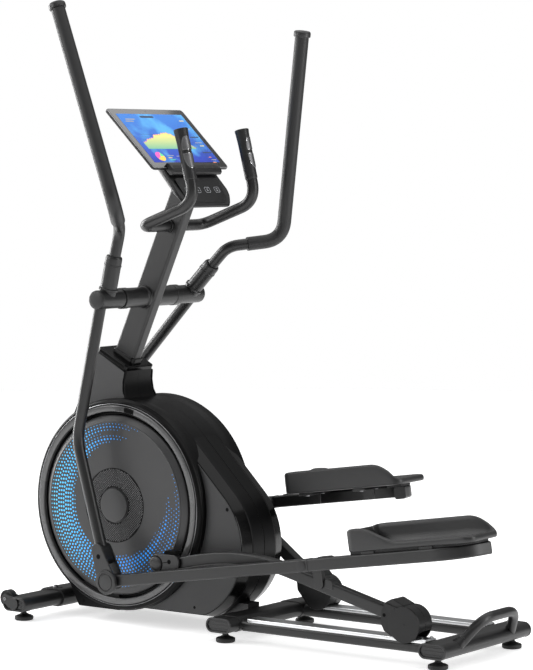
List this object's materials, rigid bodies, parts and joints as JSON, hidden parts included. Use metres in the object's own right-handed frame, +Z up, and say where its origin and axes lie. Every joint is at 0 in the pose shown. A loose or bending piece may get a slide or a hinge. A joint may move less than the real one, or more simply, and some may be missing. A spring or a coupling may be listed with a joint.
{
  "type": "elliptical trainer",
  "caption": "Front-drive elliptical trainer with swing arms, long pedal bars rolling on rear rails, round drive covers with crank discs and a tilted console tablet.",
  "frame": {"origin": "bottom centre of the bounding box, on the floor under the machine", "axes": "+X to the rear where the user steps on, +Y to the user's right, +Z up"},
  "size_m": [1.564, 0.6184, 1.6732],
  "materials": {
    "black_coat": "satin powder coat",
    "post_coat": "satin powder coat, mid grey",
    "cover_plastic": "fine-grained satin moulding",
    "gloss_plastic": "gloss",
    "black_plastic": "satin moulding",
    "disc_plastic": "satin moulding with printed light dots",
    "grip_foam": "closed-cell foam, matt",
    "rubber": "matt",
    "urethane": "satin",
    "rail_aluminium": "anodised satin",
    "shaft_steel": "turned",
    "flywheel_iron": "turned rim",
    "tablet_shell": "satin bezel round a glass screen"
  },
  "bodies": {
    "frame": {"main_frame": "black_coat", "front_stabilizer": "black_coat", "middle_stabilizer": "black_coat", "rear_stabilizer": "black_coat", "rear_carry_handle": "black_coat", "arm_cross_tube": "black_coat", "fixed_handlebar": "black_coat", "console_post": "post_coat", "drive_cover_left": "cover_plastic", "drive_cover_right": "cover_plastic", "trim_ring_left": "gloss_plastic", "trim_ring_right": "gloss_plastic", "neck_collar": "gloss_plastic", "console_housing": "black_plastic", "tablet_ledge": "black_plastic", "tablet": "tablet_shell", "drive_belt": "rubber", "rail_tube_left": "black_coat", "rail_tube_right": "black_coat", "rail_strip_left": "rail_aluminium", "rail_strip_right": "rail_aluminium", "front_end_cap_left": "black_plastic", "front_end_cap_right": "black_plastic"},
    "crank": {"crank_axle": "shaft_steel", "crank_disc_left": "disc_plastic", "crank_disc_right": "disc_plastic", "crank_pulley": "black_plastic"},
    "flywheel": {"flywheel": "flywheel_iron", "flywheel_shaft": "shaft_steel"},
    "magnet": {"magnet_bracket": "shaft_steel"},
    "arm_left": {"swing_arm_left": "black_coat", "arm_handle_left": "black_coat", "foam_grip_left": "grip_foam", "arm_bracket_cover_left": "black_plastic"},
    "pedal_bar_left": {"pedal_bar_left": "black_coat", "pedal_left": "black_plastic"},
    "roller_axle_left": {"roller_axle_left": "shaft_steel"},
    "roller_bar_left": {"roller_bar_left": "black_coat", "crank_bearing_cover_left": "black_plastic", "roller_cover_left": "black_plastic"},
    "roller_wheel_left": {"roller_wheel_left": "urethane"},
    "transport_wheel_left": {"transport_wheel_left": "rubber"},
    "arm_right": {"swing_arm_right": "black_coat", "arm_handle_right": "black_coat", "foam_grip_right": "grip_foam", "arm_bracket_cover_right": "black_plastic"},
    "pedal_bar_right": {"pedal_bar_right": "black_coat", "pedal_right": "black_plastic"},
    "roller_axle_right": {"roller_axle_right": "shaft_steel"},
    "roller_bar_right": {"roller_bar_right": "black_coat", "crank_bearing_cover_right": "black_plastic", "roller_cover_right": "black_plastic"},
    "roller_wheel_right": {"roller_wheel_right": "urethane"},
    "transport_wheel_right": {"transport_wheel_right": "rubber"},
    "levelling_foot_front_left": {"levelling_foot_front_left": "rubber"},
    "levelling_foot_front_right": {"levelling_foot_front_right": "rubber"},
    "levelling_foot_middle_left": {"levelling_foot_middle_left": "rubber"},
    "levelling_foot_middle_right": {"levelling_foot_middle_right": "rubber"},
    "levelling_foot_rear_left": {"levelling_foot_rear_left": "rubber"},
    "levelling_foot_rear_right": {"levelling_foot_rear_right": "rubber"}
  },
  "joints": [
    {"name": "crank_spin", "type": "hinge", "parent": "frame", "child": "crank", "pos_m": [-0.4031, 0, 0.32], "axis": [0, 1, 0], "continuous": true},
    {"name": "flywheel_spin", "type": "hinge", "parent": "frame", "child": "flywheel", "pos_m": [-0.1981, 0, 0.225], "axis": [0, 1, 0], "continuous": true},
    {"name": "magnet_adjust", "type": "hinge", "parent": "frame", "child": "magnet", "pos_m": [-0.3411, 0, 0.326], "axis": [0, 1, 0], "range_deg": [-3, 2.5]},
    {"name": "stride_left", "type": "hinge", "parent": "frame", "child": "arm_left", "pos_m": [-0.3841, -0.1722, 0.878], "axis": [0, 1, 0], "range_deg": [-1, 32.5]},
    {"name": "pedal_bar_pivot_left", "type": "hinge", "parent": "arm_left", "child": "pedal_bar_left", "pos_m": [-0.3471, -0.2042, 0.13], "axis": [0, 1, 0], "range_deg": [-32.5, 1.5]},
    {"name": "roller_travel_left", "type": "slide", "parent": "frame", "child": "roller_axle_left", "axis": [1, 0, 0], "range_m": [-0.47, 0.016]},
    {"name": "roller_bar_pitch_left", "type": "hinge", "parent": "roller_axle_left", "child": "roller_bar_left", "pos_m": [0.5569, -0.1402, 0.098], "axis": [0, 1, 0], "range_deg": [-1, 22]},
    {"name": "roller_spin_left", "type": "hinge", "parent": "roller_axle_left", "child": "roller_wheel_left", "pos_m": [0.5569, -0.1402, 0.098], "axis": [0, 1, 0], "continuous": true},
    {"name": "transport_spin_left", "type": "hinge", "parent": "frame", "child": "transport_wheel_left", "pos_m": [-0.6711, -0.2502, 0.06], "axis": [0, 1, 0], "continuous": true},
    {"name": "stride_right", "type": "hinge", "parent": "frame", "child": "arm_right", "pos_m": [-0.3841, 0.1718, 0.878], "axis": [0, 1, 0], "range_deg": [-32.5, 1]},
    {"name": "pedal_bar_pivot_right", "type": "hinge", "parent": "arm_right", "child": "pedal_bar_right", "pos_m": [-0.74911, 0.2038, 0.22405], "axis": [0, 1, 0], "range_deg": [-1.5, 32.5]},
    {"name": "roller_travel_right", "type": "slide", "parent": "frame", "child": "roller_axle_right", "axis": [1, 0, 0], "range_m": [-0.016, 0.47]},
    {"name": "roller_bar_pitch_right", "type": "hinge", "parent": "roller_axle_right", "child": "roller_bar_right", "pos_m": [0.0969, 0.1398, 0.098], "axis": [0, 1, 0], "range_deg": [-22, 1]},
    {"name": "roller_spin_right", "type": "hinge", "parent": "roller_axle_right", "child": "roller_wheel_right", "pos_m": [0.0969, 0.1398, 0.098], "axis": [0, 1, 0], "continuous": true},
    {"name": "transport_spin_right", "type": "hinge", "parent": "frame", "child": "transport_wheel_right", "pos_m": [-0.6711, 0.2498, 0.06], "axis": [0, 1, 0], "continuous": true},
    {"name": "level_front_left", "type": "hinge", "parent": "frame", "child": "levelling_foot_front_left", "pos_m": [-0.6391, -0.2252, 0.014], "axis": [0, 0, 1], "range_deg": [-180, 180]},
    {"name": "level_front_right", "type": "hinge", "parent": "frame", "child": "levelling_foot_front_right", "pos_m": [-0.6391, 0.2248, 0.014], "axis": [0, 0, 1], "range_deg": [-180, 180]},
    {"name": "level_middle_left", "type": "hinge", "parent": "frame", "child": "levelling_foot_middle_left", "pos_m": [0.0109, -0.1782, 0.014], "axis": [0, 0, 1], "range_deg": [-180, 180]},
    {"name": "level_middle_right", "type": "hinge", "parent": "frame", "child": "levelling_foot_middle_right", "pos_m": [0.0109, 0.1778, 0.014], "axis": [0, 0, 1], "range_deg": [-180, 180]},
    {"name": "level_rear_left", "type": "hinge", "parent": "frame", "child": "levelling_foot_rear_left", "pos_m": [0.6619, -0.1762, 0.014], "axis": [0, 0, 1], "range_deg": [-180, 180]},
    {"name": "level_rear_right", "type": "hinge", "parent": "frame", "child": "levelling_foot_rear_right", "pos_m": [0.6619, 0.1758, 0.014], "axis": [0, 0, 1], "range_deg": [-180, 180]}
  ],
  "couplings": [
    {"joint": "flywheel_spin", "follows": "crank_spin", "ratio": 6.8182},
    {"joint": "pedal_bar_pivot_left", "follows": "stride_left", "ratio": -0.983},
    {"joint": "roller_travel_left", "follows": "stride_left", "m_per_rad": -0.8236},
    {"joint": "roller_bar_pitch_left", "follows": "stride_left", "ratio": 0.657},
    {"joint": "roller_spin_left", "follows": "stride_left", "ratio": -24.807},
    {"joint": "stride_right", "follows": "stride_left", "ratio": -1},
    {"joint": "pedal_bar_pivot_right", "follows": "stride_left", "ratio": 0.983},
    {"joint": "roller_travel_right", "follows": "stride_left", "m_per_rad": 0.8236},
    {"joint": "roller_bar_pitch_right", "follows": "stride_left", "ratio": -0.657},
    {"joint": "roller_spin_right", "follows": "stride_left", "ratio": 24.807}
  ]
}
